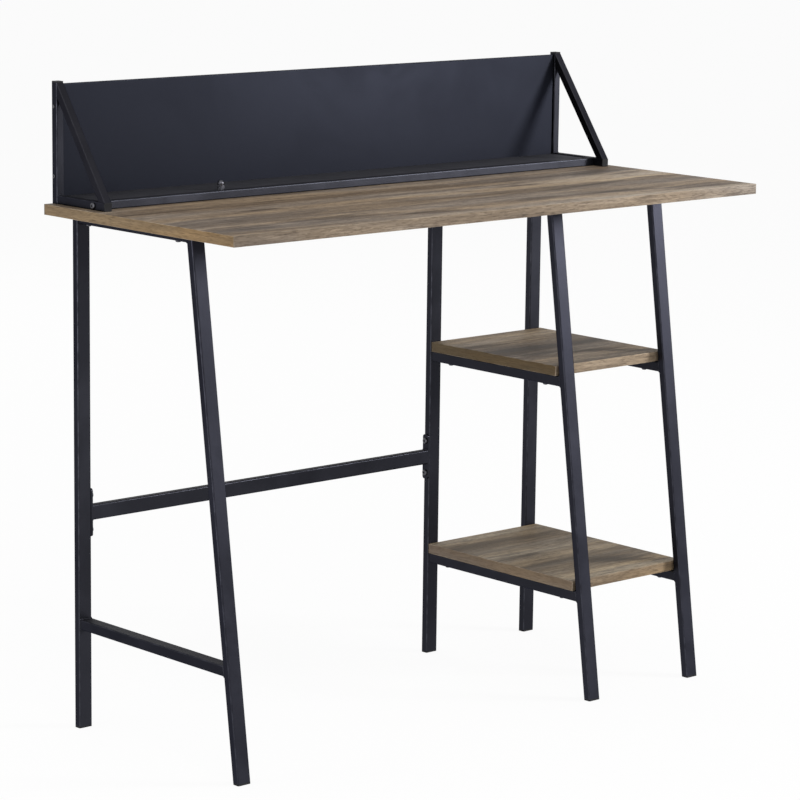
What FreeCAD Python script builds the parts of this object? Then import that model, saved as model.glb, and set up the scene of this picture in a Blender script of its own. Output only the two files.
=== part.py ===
import FreeCAD, Part
import math
import os
from collections import namedtuple

from FreeCAD import Vector

# Writing desk with a small hutch, lengths in millimetres.
# The origin is on the floor under the middle of the desktop: X right, Y to the rear, Z up.

# Desktop board
desktop_width = 1000.0
desktop_depth = 420.0
desktop_thickness = 15.0
worktop_height = 760.0

# Leg tube, its wider side facing the front
leg_tube_width = 22.0
leg_tube_depth = 12.0
leg_tube_radius = 2.0
leg_tube_wall = 1.2

# Places of the three leg frames
frame_side_inset = 48.0
shelf_unit_width = 233.0
front_leg_foot_inset = 46.0
front_leg_top_inset = 151.0

# Plastic caps on the leg ends
foot_pad_thickness = 2.5
foot_plug_length = 12.0
plug_clearance = 0.1

# Rails from the front leg to the rear leg
rail_width = 20.0
rail_height = 15.0
rail_radius = 2.0
rail_wall = 1.2

# Shelf boards
shelf_thickness = 15.0
upper_shelf_height = 495.0
lower_shelf_height = 176.0
shelf_front_gap = 4.5
shelf_rear_gap = 1.0

# Rear stretcher with its two end plates
stretcher_height = 314.0
plate_thickness = 3.0
plate_height = 70.0
plate_radius = 4.0
plate_bolt_spacing = 50.0

# Hutch tubes and their caps
hutch_height = 170.0
hutch_depth = 122.0
hutch_side_inset = 14.0
hutch_tube_size = 12.0
hutch_tube_radius = 1.5
hutch_tube_wall = 1.0
post_cap_thickness = 2.0
base_rail_cap_thickness = 1.5
hutch_plug_length = 8.0
front_rail_setback = 20.0
front_rail_plug_length = 12.0

# Folded back panel
panel_depth = 8.0
panel_sheet = 1.0
panel_setback = 3.0
panel_top_drop = 4.0
panel_upper_bolt_drop = 35.0
panel_lower_bolt_rise = 26.0

# Folded tray floor
tray_sheet = 1.5
tray_drop = 1.5
cap_nut_side_inset = 222.0
cap_nut_front_inset = 8.5

# Pan head wood screws, driven up through the rails into the boards
screw_diameter = 4.0
screw_head_diameter = 8.0
screw_head_height = 3.2
screw_cross_length = 4.4
screw_cross_width = 0.9
screw_cross_depth = 1.4
screw_tip_length = 3.0
screw_grip = 11.0
desktop_screw_front_inset = 32.0
desktop_screw_rear_inset = 12.0
shelf_screw_front_inset = 32.5
shelf_screw_rear_inset = 35.0

# Bolts with low round heads
frame_bolt_diameter = 5.0
frame_bolt_head = 9.2
frame_bolt_head_height = 2.8
frame_bolt_socket = 3.0
panel_bolt_diameter = 3.0
panel_bolt_head = 5.2
panel_bolt_head_height = 1.4
panel_bolt_socket = 2.0
tray_bolt_diameter = 6.0
tray_bolt_head = 10.5
tray_bolt_head_height = 3.3
tray_bolt_socket = 4.0
bolt_end_spare = 1.0
head_dome_share = 0.6
socket_depth_share = 0.6

# Nuts
frame_nut_width = 8.0
frame_nut_height = 4.0
panel_nut_diameter = 5.6
panel_nut_height = 4.0
cap_nut_width = 10.0
cap_nut_height = 14.0
cap_nut_base_height = 6.5
cap_nut_dome_diameter = 9.4
cap_nut_thread_depth = 9.0

# Bolts that hold the hutch down, placed along its base rails
hutch_bolt_front_inset = 50.0
hutch_bolt_rear_inset = 30.0

# Fits and cuts
hole_clearance = 0.25
thread_clearance = 0.05
pilot_spare = 0.5
overrun = 5.0

X_AXIS = Vector(1, 0, 0)
Y_AXIS = Vector(0, 1, 0)
Z_AXIS = Vector(0, 0, 1)
quarter_turn = 90

Profile = namedtuple("Profile", "width depth radius wall")
Bolt = namedtuple("Bolt", "diameter head head_height socket")

leg_profile = Profile(leg_tube_width, leg_tube_depth, leg_tube_radius, leg_tube_wall)
edge_profile = Profile(leg_tube_depth, leg_tube_width, leg_tube_radius, leg_tube_wall)
rail_profile = Profile(rail_width, rail_height, rail_radius, rail_wall)
hutch_profile = Profile(hutch_tube_size, hutch_tube_size, hutch_tube_radius, hutch_tube_wall)
frame_bolt = Bolt(frame_bolt_diameter, frame_bolt_head, frame_bolt_head_height, frame_bolt_socket)
panel_bolt = Bolt(panel_bolt_diameter, panel_bolt_head, panel_bolt_head_height, panel_bolt_socket)
tray_bolt = Bolt(tray_bolt_diameter, tray_bolt_head, tray_bolt_head_height, tray_bolt_socket)

# Places worked out from the sizes above
desk_right = desktop_width / 2
desk_rear = desktop_depth / 2
leg_top = worktop_height - desktop_thickness
rear_leg_front = desk_rear - leg_tube_depth
right_frame_outer = desk_right - frame_side_inset
frame_lefts = {
    "left": -right_frame_outer,
    "middle": right_frame_outer - shelf_unit_width,
    "right": right_frame_outer - leg_tube_width,
}
front_leg_lean = (front_leg_top_inset - front_leg_foot_inset) / leg_top
front_leg_stretch = math.hypot(1, front_leg_lean)

hutch_outer = desk_right - hutch_side_inset
hutch_inner = hutch_outer - hutch_tube_size
hutch_front = desk_rear - hutch_depth
post_front = desk_rear - hutch_tube_size
post_top = worktop_height + hutch_height - post_cap_thickness
base_rail_top = worktop_height + hutch_tube_size
tray_top = base_rail_top - tray_drop
tray_front = hutch_front + front_rail_setback + hutch_tube_size
panel_front = post_front + panel_setback
panel_middle = panel_front + panel_depth / 2
panel_bolt_heights = (
    worktop_height + hutch_height - panel_upper_bolt_drop,
    base_rail_top + panel_lower_bolt_rise,
)


def export(name, shape):
    """Write one piece, or one group of like pieces, to its file."""
    shape.exportStep("parts/" + name + ".step")


def group(solids):
    """Several like pieces kept together."""
    return Part.makeCompound(solids)


def front_leg_face(height):
    """Y of the front leg's front face at a height."""
    return front_leg_foot_inset - desk_rear + front_leg_lean * height


def front_leg_back(height):
    """Y of the front leg's rear face at a height."""
    return front_leg_face(height) + leg_tube_depth * front_leg_stretch


def rounded_face(corner, across, along, width, depth, radius):
    """Rectangle with round corners, spanned from its corner by two directions."""
    corners = [
        corner,
        corner + across * width,
        corner + across * width + along * depth,
        corner + along * depth,
    ]
    ways = [across, along, across * -1, along * -1]
    edges = []
    for index in range(4):
        way = ways[index]
        turn = ways[(index + 1) % 4]
        corner_point = corners[(index + 1) % 4]
        start = corners[index] + way * radius
        finish = corner_point - way * radius
        edges.append(Part.makeLine(start, finish))
        if radius > 0:
            centre = finish + turn * radius
            outward = (way - turn) * math.sqrt(1 / 2)
            edges.append(Part.Arc(finish, centre + outward * radius, corner_point + turn * radius).toShape())
    return Part.Face(Part.Wire(edges))


def bar(corner, across, along, profile, run, inset=0, stretch=1):
    """Solid bar of a profile, drawn in from the profile's outside by an inset."""
    start = corner + across * inset + along * (inset * stretch)
    width = profile.width - 2 * inset
    depth = (profile.depth - 2 * inset) * stretch
    radius = max(profile.radius - inset, 0)
    return rounded_face(start, across, along, width, depth, radius).extrude(run)


def tube(corner, across, along, profile, run, stretch=1):
    """Hollow tube of a profile."""
    outside = bar(corner, across, along, profile, run, 0, stretch)
    inside = bar(corner, across, along, profile, run, profile.wall, stretch)
    return outside.cut(inside)


def end_cap(corner, across, along, profile, pad_run, plug_run, stretch=1):
    """Cap that covers a tube's end, with a plug inside the tube."""
    pad = bar(corner, across, along, profile, pad_run, 0, stretch)
    plug = bar(corner + pad_run, across, along, profile, plug_run, profile.wall + plug_clearance, stretch)
    return pad.fuse(plug)


def rod(place, direction, diameter, length):
    """Plain round rod, used for shanks and holes."""
    return Part.makeCylinder(diameter / 2, length, place, direction)


def hole_through(shape, place, direction, diameter, length):
    """Cut a clearance hole that runs past both ends of a length."""
    start = place - direction * overrun
    return shape.cut(rod(start, direction, diameter + 2 * hole_clearance, length + 2 * overrun))


def hexagon(width, height):
    """Hexagonal prism on the origin, its corners along X."""
    corner_radius = width / 2 / math.cos(math.pi / 6)
    points = []
    for index in range(7):
        angle = index * math.pi / 3
        points.append(Vector(corner_radius * math.cos(angle), corner_radius * math.sin(angle), 0))
    return Part.Face(Part.makePolygon(points)).extrude(Z_AXIS * height)


def placed(shape, place, direction):
    """Turn a piece made along Z to a direction and put it in its place."""
    shape.Placement = FreeCAD.Placement(place, FreeCAD.Rotation(Z_AXIS, direction))
    return shape


def round_head(diameter, height):
    """Fastener head below the origin, its outer edge well rounded."""
    head = rod(Z_AXIS * -height, Z_AXIS, diameter, height)
    outer_edges = [edge for edge in head.Edges if abs(edge.BoundBox.ZMax + height) < height / 2]
    return head.makeFillet(height * head_dome_share, outer_edges)


def button_bolt(place, direction, bolt, length):
    """Bolt with a hexagon socket, its head seated at the place."""
    socket_depth = bolt.head_height * socket_depth_share
    head = round_head(bolt.head, bolt.head_height)
    socket = hexagon(bolt.socket, socket_depth + overrun)
    socket.translate(Z_AXIS * -(bolt.head_height + overrun))
    shape = head.cut(socket).fuse(rod(Vector(), Z_AXIS, bolt.diameter, length))
    return placed(shape, place, direction)


def pan_screw(place, length):
    """Wood screw pointing up, its cross-recessed head seated at the place."""
    head = round_head(screw_head_diameter, screw_head_height)
    for along, across in ((screw_cross_length, screw_cross_width), (screw_cross_width, screw_cross_length)):
        slot = Part.makeBox(along, across, screw_cross_depth + overrun)
        slot.translate(Vector(-along / 2, -across / 2, -(screw_head_height + overrun)))
        head = head.cut(slot)
    shank = rod(Vector(), Z_AXIS, screw_diameter, length - screw_tip_length)
    tip_place = Z_AXIS * (length - screw_tip_length)
    tip = Part.makeCone(screw_diameter / 2, 0, screw_tip_length, tip_place, Z_AXIS)
    return placed(head.fuse(shank).fuse(tip), place, Z_AXIS)


def hex_nut(place, direction, width, height, bolt):
    """Hexagon nut that a bolt is turned into."""
    shape = hexagon(width, height)
    thread = rod(Z_AXIS * -overrun, Z_AXIS, bolt.diameter + 2 * thread_clearance, height + 2 * overrun)
    return placed(shape.cut(thread), place, direction)


def pilot_hole(board, place):
    """Blind hole in a board for a screw that enters from below."""
    diameter = screw_diameter + 2 * thread_clearance
    return board.cut(rod(place - Z_AXIS * overrun, Z_AXIS, diameter, overrun + screw_grip + pilot_spare))


def frame_middle(name):
    """X of a leg frame's middle."""
    return frame_lefts[name] + leg_tube_width / 2


def desktop_screw_places():
    """Where the screws of the three top rails enter the desktop."""
    front = front_leg_back(leg_top - rail_height) + desktop_screw_front_inset
    places = []
    for name in frame_lefts:
        for y in (front, rear_leg_front - desktop_screw_rear_inset):
            places.append(Vector(frame_middle(name), y, leg_top))
    return places


def shelf_front(top):
    """Y of the front edge of the shelf whose top is at a height."""
    return front_leg_back(top) + shelf_front_gap


def shelf_screw_places(top):
    """Where the screws of the two rails enter the shelf above them."""
    places = []
    for name in ("middle", "right"):
        for y in (shelf_front(top) + shelf_screw_front_inset, rear_leg_front - shelf_screw_rear_inset):
            places.append(Vector(frame_middle(name), y, top - shelf_thickness))
    return places


def hutch_bolt_places():
    """Where the hold-down bolts pass the desktop's underside."""
    places = []
    for x in (-hutch_outer + hutch_tube_size / 2, hutch_outer - hutch_tube_size / 2):
        for y in (hutch_front + hutch_bolt_front_inset, post_front - hutch_bolt_rear_inset):
            places.append(Vector(x, y, leg_top))
    return places


def cap_nut_place():
    """Middle of the cap nut's seat on the tray floor."""
    return Vector(-hutch_inner + cap_nut_side_inset, tray_front + cap_nut_front_inset, tray_top)


def make_desktop():
    """Desktop board with the holes of its fasteners."""
    corner = Vector(-desk_right, -desk_rear, leg_top)
    board = Part.makeBox(desktop_width, desktop_depth, desktop_thickness, corner)
    for place in desktop_screw_places():
        board = pilot_hole(board, place)
    for place in hutch_bolt_places():
        board = hole_through(board, place, Z_AXIS, frame_bolt_diameter, desktop_thickness)
    nut_place = cap_nut_place()
    below_nut = Vector(nut_place.x, nut_place.y, leg_top)
    return hole_through(board, below_nut, Z_AXIS, tray_bolt_diameter, desktop_thickness)


def make_shelf(top):
    """Shelf board between the front and rear legs, on its two rails."""
    front = shelf_front(top)
    corner = Vector(frame_lefts["middle"], front, top - shelf_thickness)
    depth = rear_leg_front - shelf_rear_gap - front
    board = Part.makeBox(shelf_unit_width, depth, shelf_thickness, corner)
    for place in shelf_screw_places(top):
        board = pilot_hole(board, place)
    return board


def plate_bolt_heights():
    """Heights of the two bolts of each stretcher plate."""
    return (stretcher_height - plate_bolt_spacing / 2, stretcher_height + plate_bolt_spacing / 2)


def make_rear_leg(name):
    """Upright rear leg, drilled where a stretcher plate is bolted to it."""
    left = frame_lefts[name]
    corner = Vector(left, rear_leg_front, foot_pad_thickness)
    leg = tube(corner, X_AXIS, Y_AXIS, leg_profile, Z_AXIS * (leg_top - foot_pad_thickness))
    bolted_faces = {"left": (left + leg_tube_width, -1), "middle": (left, 1)}
    if name in bolted_faces:
        face, inward = bolted_faces[name]
        for height in plate_bolt_heights():
            start = Vector(face - inward * overrun, rear_leg_front + leg_tube_depth / 2, height)
            diameter = frame_bolt_diameter + 2 * hole_clearance
            leg = leg.cut(rod(start, X_AXIS * inward, diameter, overrun + leg_tube_width / 2))
    return leg


def make_front_leg(name):
    """Leaning front leg, cut level at the foot and under the desktop."""
    foot = front_leg_face(foot_pad_thickness)
    corner = Vector(frame_lefts[name], foot, foot_pad_thickness)
    run = Vector(0, front_leg_face(leg_top) - foot, leg_top - foot_pad_thickness)
    return tube(corner, X_AXIS, Y_AXIS, leg_profile, run, front_leg_stretch)


def make_rear_foot(name):
    """Foot cap of a rear leg."""
    corner = Vector(frame_lefts[name], rear_leg_front, 0)
    pad_run = Z_AXIS * foot_pad_thickness
    return end_cap(corner, X_AXIS, Y_AXIS, leg_profile, pad_run, Z_AXIS * foot_plug_length)


def make_front_foot(name):
    """Foot cap of a front leg, leaning with it."""
    corner = Vector(frame_lefts[name], front_leg_face(0), 0)
    lean = Vector(0, front_leg_lean, 1)
    pad_run = lean * foot_pad_thickness
    plug_run = lean * foot_plug_length
    return end_cap(corner, X_AXIS, Y_AXIS, leg_profile, pad_run, plug_run, front_leg_stretch)


def space_before_front_leg():
    """All that lies in front of the front legs' rear faces."""
    front = -desk_rear - overrun
    low = -overrun
    high = leg_top + overrun
    points = [
        Vector(-desk_right, front, low),
        Vector(-desk_right, front_leg_back(low), low),
        Vector(-desk_right, front_leg_back(high), high),
        Vector(-desk_right, front, high),
        Vector(-desk_right, front, low),
    ]
    return Part.Face(Part.makePolygon(points)).extrude(X_AXIS * desktop_width)


def make_rail(name, top, screw_places):
    """Rail from the front leg's leaning face to the rear leg, drilled for its screws."""
    bottom = top - rail_height
    start = front_leg_back(bottom)
    corner = Vector(frame_middle(name) - rail_width / 2, start, bottom)
    run = Y_AXIS * (rear_leg_front - start)
    rail = tube(corner, X_AXIS, Z_AXIS, rail_profile, run).cut(space_before_front_leg())
    for place in screw_places:
        if abs(place.x - frame_middle(name)) < rail_width:
            rail = hole_through(rail, place - Z_AXIS * rail_height, Z_AXIS, screw_diameter, rail_height)
    return rail


def make_stretcher_tube():
    """Rear stretcher, the leg tube laid on its narrow side between the end plates."""
    left = frame_lefts["left"] + leg_tube_width + plate_thickness
    right = frame_lefts["middle"] - plate_thickness
    corner = Vector(left, rear_leg_front, stretcher_height - leg_tube_width / 2)
    return tube(corner, Y_AXIS, Z_AXIS, edge_profile, X_AXIS * (right - left))


def make_stretcher_plate(left):
    """End plate welded to the stretcher, with its two bolt holes."""
    corner = Vector(left, rear_leg_front, stretcher_height - plate_height / 2)
    face = rounded_face(corner, Y_AXIS, Z_AXIS, leg_tube_depth, plate_height, plate_radius)
    plate = face.extrude(X_AXIS * plate_thickness)
    for height in plate_bolt_heights():
        place = Vector(left, rear_leg_front + leg_tube_depth / 2, height)
        plate = hole_through(plate, place, X_AXIS, frame_bolt_diameter, plate_thickness)
    return plate


def stretcher_fasteners():
    """Bolts of the end plates and the nuts welded inside the legs."""
    length = plate_thickness + leg_tube_wall + frame_nut_height + bolt_end_spare
    sides = (
        (frame_lefts["left"] + leg_tube_width, X_AXIS * -1),
        (frame_lefts["middle"], X_AXIS),
    )
    bolts = []
    nuts = []
    for leg_face, way in sides:
        for height in plate_bolt_heights():
            place = Vector(leg_face, rear_leg_front + leg_tube_depth / 2, height)
            bolts.append(button_bolt(place - way * plate_thickness, way, frame_bolt, length))
            nut_place = place + way * leg_tube_wall
            nuts.append(hex_nut(nut_place, way, frame_nut_width, frame_nut_height, frame_bolt))
    return group(bolts), group(nuts)


def hutch_low_x(side):
    """Smaller X of the hutch tubes on a side, -1 for left and 1 for right."""
    return min(side * hutch_outer, side * hutch_inner)


def make_post(side):
    """Upright hutch post at the rear, drilled for the panel's bolts."""
    corner = Vector(hutch_low_x(side), post_front, worktop_height)
    post = tube(corner, X_AXIS, Y_AXIS, hutch_profile, Z_AXIS * (post_top - worktop_height))
    for height in panel_bolt_heights:
        place = Vector(hutch_low_x(side), panel_middle, height)
        post = hole_through(post, place, X_AXIS, panel_bolt_diameter, hutch_tube_size)
    return post


def make_post_cap(side):
    """Flat cap on top of a hutch post."""
    corner = Vector(hutch_low_x(side), post_front, worktop_height + hutch_height)
    pad_run = Z_AXIS * -post_cap_thickness
    return end_cap(corner, X_AXIS, Y_AXIS, hutch_profile, pad_run, Z_AXIS * -hutch_plug_length)


def make_base_rail(side):
    """Hutch rail lying on the desktop in front of a post, with its bolt holes."""
    start = hutch_front + base_rail_cap_thickness
    corner = Vector(hutch_low_x(side), start, worktop_height)
    rail = tube(corner, X_AXIS, Z_AXIS, hutch_profile, Y_AXIS * (post_front - start))
    bolt_place = Vector(hutch_low_x(side), front_rail_middle(), worktop_height + hutch_tube_size / 2)
    rail = hole_through(rail, bolt_place, X_AXIS, frame_bolt_diameter, hutch_tube_size)
    for place in hutch_bolt_places():
        if place.x * side > 0:
            start_place = Vector(place.x, place.y, worktop_height - overrun)
            diameter = frame_bolt_diameter + 2 * hole_clearance
            rail = rail.cut(rod(start_place, Z_AXIS, diameter, overrun + hutch_tube_size / 2))
    return rail


def make_base_rail_cap(side):
    """Cap on the front end of a base rail."""
    corner = Vector(hutch_low_x(side), hutch_front, worktop_height)
    pad_run = Y_AXIS * base_rail_cap_thickness
    return end_cap(corner, X_AXIS, Z_AXIS, hutch_profile, pad_run, Y_AXIS * hutch_plug_length)


def make_brace(side):
    """Sloping brace from the base rail's front end to the post's top."""
    rise = post_top - base_rail_top
    reach = post_front - hutch_front
    stretch = math.hypot(1, reach / rise)
    corner = Vector(hutch_low_x(side), hutch_front, base_rail_top)
    brace = tube(corner, X_AXIS, Y_AXIS, hutch_profile, Vector(0, reach, rise), stretch)
    behind_corner = Vector(hutch_low_x(side) - overrun, post_front, base_rail_top)
    behind = Part.makeBox(hutch_tube_size + 2 * overrun, hutch_depth, rise + overrun, behind_corner)
    return brace.cut(behind)


def front_rail_middle():
    """Y of the middle of the hutch's front rail."""
    return hutch_front + front_rail_setback + hutch_tube_size / 2


def make_front_rail():
    """Low rail across the front of the tray, between the base rails."""
    corner = Vector(-hutch_inner, hutch_front + front_rail_setback, worktop_height)
    return tube(corner, Y_AXIS, Z_AXIS, hutch_profile, X_AXIS * (2 * hutch_inner))


def make_front_rail_plug(side):
    """Threaded plug inside an end of the front rail."""
    corner = Vector(side * hutch_inner, hutch_front + front_rail_setback, worktop_height)
    inward = X_AXIS * -side
    inset = hutch_tube_wall + plug_clearance
    plug = bar(corner, Y_AXIS, Z_AXIS, hutch_profile, inward * front_rail_plug_length, inset)
    start = Vector(side * hutch_inner, front_rail_middle(), worktop_height + hutch_tube_size / 2)
    thread = rod(start - inward * overrun, inward, frame_bolt_diameter + 2 * thread_clearance,
                 front_rail_plug_length + 2 * overrun)
    return plug.cut(thread)


def make_front_rail_bolts():
    """Bolts through the base rails into the front rail's plugs."""
    bolts = []
    for side in (-1, 1):
        place = Vector(side * hutch_outer, front_rail_middle(), worktop_height + hutch_tube_size / 2)
        length = hutch_tube_size + front_rail_plug_length - bolt_end_spare
        bolts.append(button_bolt(place, X_AXIS * -side, frame_bolt, length))
    return group(bolts)


def folded_sheet(corner, width, depth, height, sheet, open_way):
    """Shallow pan of folded sheet, open towards one direction."""
    outside = Part.makeBox(width, depth, height, corner)
    hollow_corner = corner + Vector(sheet, sheet, sheet)
    hollow = Part.makeBox(width - 2 * sheet, depth - 2 * sheet, height - 2 * sheet, hollow_corner)
    opened = hollow.copy()
    opened.translate(open_way * (2 * sheet))
    return outside.cut(hollow).cut(opened)


def make_back_panel():
    """Back panel between the posts, its edges folded to the rear."""
    height = worktop_height + hutch_height - panel_top_drop - tray_top
    corner = Vector(-hutch_inner, panel_front, tray_top)
    panel = folded_sheet(corner, 2 * hutch_inner, panel_depth, height, panel_sheet, Y_AXIS)
    for bolt_height in panel_bolt_heights:
        for side in (-1, 1):
            place = Vector(side * (hutch_inner + overrun), panel_middle, bolt_height)
            diameter = panel_bolt_diameter + 2 * hole_clearance
            panel = panel.cut(rod(place, X_AXIS * -side, diameter, 2 * overrun))
    return panel


def panel_fasteners():
    """Bolts through the posts and the round nuts inside the panel's side folds."""
    length = hutch_tube_size + panel_sheet + panel_nut_height + bolt_end_spare
    bolts = []
    nuts = []
    for side in (-1, 1):
        inward = X_AXIS * -side
        for height in panel_bolt_heights:
            head_place = Vector(side * hutch_outer, panel_middle, height)
            nut_place = Vector(side * (hutch_inner - panel_sheet), panel_middle, height)
            bolts.append(button_bolt(head_place, inward, panel_bolt, length))
            nut = rod(nut_place, inward, panel_nut_diameter, panel_nut_height)
            nuts.append(nut.cut(rod(nut_place, inward, panel_bolt_diameter + 2 * thread_clearance, length)))
    return group(bolts), group(nuts)


def make_tray_floor():
    """Tray floor a little below the front rail's top, its edges folded down to the desktop."""
    corner = Vector(-hutch_inner, tray_front, worktop_height)
    depth = panel_front + panel_depth - tray_front
    height = tray_top - worktop_height
    tray = folded_sheet(corner, 2 * hutch_inner, depth, height, tray_sheet, Z_AXIS * -1)
    return hole_through(tray, cap_nut_place() - Z_AXIS * tray_sheet, Z_AXIS, tray_bolt_diameter, tray_sheet)


def hutch_fasteners():
    """Bolts up through the desktop into nuts welded inside the base rails."""
    length = desktop_thickness + hutch_tube_wall + frame_nut_height + bolt_end_spare
    bolts = []
    nuts = []
    for place in hutch_bolt_places():
        nut_place = Vector(place.x, place.y, worktop_height + hutch_tube_wall)
        bolts.append(button_bolt(place, Z_AXIS, frame_bolt, length))
        nut = hex_nut(nut_place, Z_AXIS, frame_nut_width, frame_nut_height, frame_bolt)
        nut.rotate(nut_place, Z_AXIS, quarter_turn)
        nuts.append(nut)
    return group(bolts), group(nuts)


def make_tray_bolt():
    """Bolt up through the desktop and the tray floor into the cap nut."""
    top = cap_nut_place()
    place = Vector(top.x, top.y, leg_top)
    length = top.z - leg_top + cap_nut_thread_depth - bolt_end_spare
    return button_bolt(place, Z_AXIS, tray_bolt, length)


def make_cap_nut():
    """Domed cap nut on the tray floor."""
    dome_radius = cap_nut_dome_diameter / 2
    nut = hexagon(cap_nut_width, cap_nut_base_height)
    nut = nut.fuse(rod(Vector(), Z_AXIS, cap_nut_dome_diameter, cap_nut_height - dome_radius))
    nut = nut.fuse(Part.makeSphere(dome_radius, Z_AXIS * (cap_nut_height - dome_radius)))
    thread_diameter = tray_bolt_diameter + 2 * thread_clearance
    nut = nut.cut(rod(Z_AXIS * -overrun, Z_AXIS, thread_diameter, overrun + cap_nut_thread_depth))
    return placed(nut, cap_nut_place(), Z_AXIS)


def make_rail_screws(places):
    """Screws up through rails, one for each place where a board is entered."""
    length = rail_height + screw_grip
    return group([pan_screw(place - Z_AXIS * rail_height, length) for place in places])


def export_frames():
    """The three leg frames with their rails and feet."""
    for name in frame_lefts:
        export(name + "_rear_leg", make_rear_leg(name))
        export(name + "_front_leg", make_front_leg(name))
        export(name + "_rear_foot_cap", make_rear_foot(name))
        export(name + "_front_foot_cap", make_front_foot(name))
        export(name + "_top_rail", make_rail(name, leg_top, desktop_screw_places()))
    for shelf_name, top in (("upper", upper_shelf_height), ("lower", lower_shelf_height)):
        for name in ("middle", "right"):
            rail = make_rail(name, top - shelf_thickness, shelf_screw_places(top))
            export(name + "_" + shelf_name + "_shelf_rail", rail)
    export("left_crossbar", make_rail("left", lower_shelf_height - shelf_thickness, []))


def export_boards():
    """Desktop, shelves and the screws that hold them."""
    export("desktop", make_desktop())
    export("upper_shelf", make_shelf(upper_shelf_height))
    export("lower_shelf", make_shelf(lower_shelf_height))
    export("desktop_screws", make_rail_screws(desktop_screw_places()))
    shelf_places = shelf_screw_places(upper_shelf_height) + shelf_screw_places(lower_shelf_height)
    export("shelf_screws", make_rail_screws(shelf_places))


def export_stretcher():
    """Rear stretcher, its end plates and their fasteners."""
    bolts, nuts = stretcher_fasteners()
    export("stretcher_tube", make_stretcher_tube())
    export("stretcher_left_plate", make_stretcher_plate(frame_lefts["left"] + leg_tube_width))
    export("stretcher_right_plate", make_stretcher_plate(frame_lefts["middle"] - plate_thickness))
    export("stretcher_bolts", bolts)
    export("stretcher_nuts", nuts)


def export_hutch():
    """Hutch frames, panel, tray and their fasteners."""
    for side_name, side in (("left", -1), ("right", 1)):
        export("hutch_" + side_name + "_post", make_post(side))
        export("hutch_" + side_name + "_post_cap", make_post_cap(side))
        export("hutch_" + side_name + "_base_rail", make_base_rail(side))
        export("hutch_" + side_name + "_base_rail_cap", make_base_rail_cap(side))
        export("hutch_" + side_name + "_brace", make_brace(side))
        export("front_rail_" + side_name + "_plug", make_front_rail_plug(side))
    panel_bolts, panel_nuts = panel_fasteners()
    hutch_bolts, hutch_nuts = hutch_fasteners()
    export("hutch_front_rail", make_front_rail())
    export("front_rail_bolts", make_front_rail_bolts())
    export("back_panel", make_back_panel())
    export("panel_bolts", panel_bolts)
    export("panel_nuts", panel_nuts)
    export("tray_floor", make_tray_floor())
    export("tray_bolt", make_tray_bolt())
    export("tray_cap_nut", make_cap_nut())
    export("hutch_bolts", hutch_bolts)
    export("hutch_nuts", hutch_nuts)


os.makedirs("parts", exist_ok=True)
export_frames()
export_boards()
export_stretcher()
export_hutch()
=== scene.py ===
# %% [markdown]
# # A writing desk with a low hutch
# The desk is welded from dark tube and carries boards with a printed wood look. The construction comes
# as a fixed frame of CAD pieces in metres. This file gives every piece its finish, replaces the boards
# and the folded sheets with softer-edged meshes, adds the weld beads, and sets the camera and light.

# %% Load the frame
import bmesh
import bpy
import math
from mathutils import Matrix, Vector


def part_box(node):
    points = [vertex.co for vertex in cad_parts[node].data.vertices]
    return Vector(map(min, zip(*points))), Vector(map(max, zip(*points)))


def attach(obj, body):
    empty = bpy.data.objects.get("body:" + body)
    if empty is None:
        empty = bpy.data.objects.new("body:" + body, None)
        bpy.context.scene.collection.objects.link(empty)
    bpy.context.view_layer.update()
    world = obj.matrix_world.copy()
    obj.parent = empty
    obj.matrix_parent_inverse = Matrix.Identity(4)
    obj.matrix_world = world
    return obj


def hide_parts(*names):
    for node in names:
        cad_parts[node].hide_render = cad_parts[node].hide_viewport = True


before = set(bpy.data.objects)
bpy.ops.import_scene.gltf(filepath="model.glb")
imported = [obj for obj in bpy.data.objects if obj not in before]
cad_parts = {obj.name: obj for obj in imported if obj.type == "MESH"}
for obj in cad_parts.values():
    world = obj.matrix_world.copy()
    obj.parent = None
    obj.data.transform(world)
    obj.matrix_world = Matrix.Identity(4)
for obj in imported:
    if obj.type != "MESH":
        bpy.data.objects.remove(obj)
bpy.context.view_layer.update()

# %% [markdown]
# ## Camera
# The photograph was taken from the front left with a long lens, held almost level, and the picture was cut
# out of a larger frame. A shifted lens would repeat that to half a pixel, but the desk would then sit off
# centre in every other view. This camera has no shift and aims at the desk instead, which moves the outline
# by 2 pixels on average. The focal length is given in pixels of an 800 pixel frame.

# %% Place the camera
PICTURE_PIXELS = 800
SENSOR_MM = 36.0
FOCAL_PIXELS = 3276.27
CAMERA_PLACE = Vector((-3.14049, -3.48827, 1.32298))
CAMERA_YAW = math.radians(41.809)
CAMERA_PITCH = math.radians(-10.4487)
CAMERA_ROLL = math.radians(0.7391)
CAMERA_REACH = 50.0


def camera_axes(yaw, pitch, roll):
    """Right, up and forward directions of a camera that looks along +Y at rest."""
    flat = math.cos(pitch)
    forward = Vector((math.sin(yaw) * flat, math.cos(yaw) * flat, math.sin(pitch)))
    level = Vector((math.cos(yaw), -math.sin(yaw), 0))
    upright = level.cross(forward)
    right = level * math.cos(roll) + upright * math.sin(roll)
    up = upright * math.cos(roll) - level * math.sin(roll)
    return right, up, forward


def place_camera():
    """Camera with the photograph's lens and direction."""
    right, up, forward = camera_axes(CAMERA_YAW, CAMERA_PITCH, CAMERA_ROLL)
    lens = bpy.data.cameras.new("photo_camera")
    lens.sensor_width = SENSOR_MM
    lens.lens = FOCAL_PIXELS / PICTURE_PIXELS * SENSOR_MM
    lens.clip_end = CAMERA_REACH
    camera = bpy.data.objects.new("photo_camera", lens)
    turn = Matrix((right, up, -forward)).transposed().to_4x4()
    camera.matrix_world = Matrix.Translation(CAMERA_PLACE) @ turn
    bpy.context.scene.collection.objects.link(camera)
    bpy.context.scene.camera = camera
    return lens


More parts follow.
